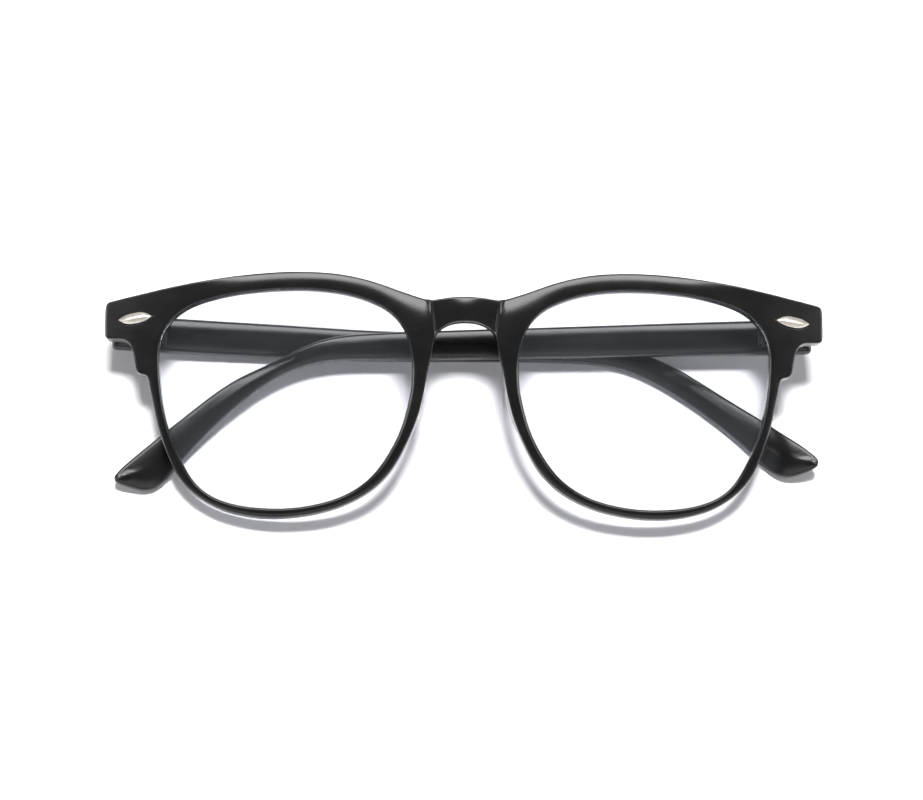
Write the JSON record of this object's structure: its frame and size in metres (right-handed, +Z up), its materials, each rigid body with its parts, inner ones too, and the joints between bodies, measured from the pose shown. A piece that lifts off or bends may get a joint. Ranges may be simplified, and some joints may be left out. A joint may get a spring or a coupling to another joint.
{
  "type": "folding spectacles",
  "caption": "Folded clear-lens spectacles: black square-round front with keyhole-free saddle bridge, moulded nose pads, oval rivets and two hinged ear arms.",
  "frame": {"origin": "middle of the footprint, on the table the folded glasses lie on", "axes": "+X along the width of the front towards the wearer's left, +Y from the lower rims towards the brow, +Z up off the table, out of the front of the lenses"},
  "size_m": [0.1444, 0.0474, 0.028],
  "materials": {
    "black_plastic": "gloss",
    "clear_lens": "polished, anti-glare coated",
    "champagne_metal": "satin",
    "hinge_steel": "brushed"
  },
  "bodies": {
    "front": {"frame_front": "black_plastic", "lens_right": "clear_lens", "rivet_right": "champagne_metal", "hinge_front_right": "hinge_steel", "hinge_front_screw_right": "hinge_steel", "hinge_pin_right": "hinge_steel", "lens_left": "clear_lens", "rivet_left": "champagne_metal", "hinge_front_left": "hinge_steel", "hinge_front_screw_left": "hinge_steel", "hinge_pin_left": "hinge_steel"},
    "arm_right": {"temple_right": "black_plastic", "hinge_arm_right": "hinge_steel", "hinge_arm_screw_a_right": "hinge_steel", "hinge_arm_screw_b_right": "hinge_steel"},
    "arm_left": {"temple_left": "black_plastic", "hinge_arm_left": "hinge_steel", "hinge_arm_screw_a_left": "hinge_steel", "hinge_arm_screw_b_left": "hinge_steel"}
  },
  "joints": [
    {"name": "hinge_right", "type": "hinge", "parent": "front", "child": "arm_right", "pos_m": [-0.06555, 0.01828, 0.00806], "axis": [0.0414, 0.9251, 0.3775], "range_deg": [0, 87.1]},
    {"name": "hinge_left", "type": "hinge", "parent": "front", "child": "arm_left", "pos_m": [0.06592, 0.01828, 0.01127], "axis": [0.045, -0.9257, -0.3756], "range_deg": [0, 91.4]}
  ]
}
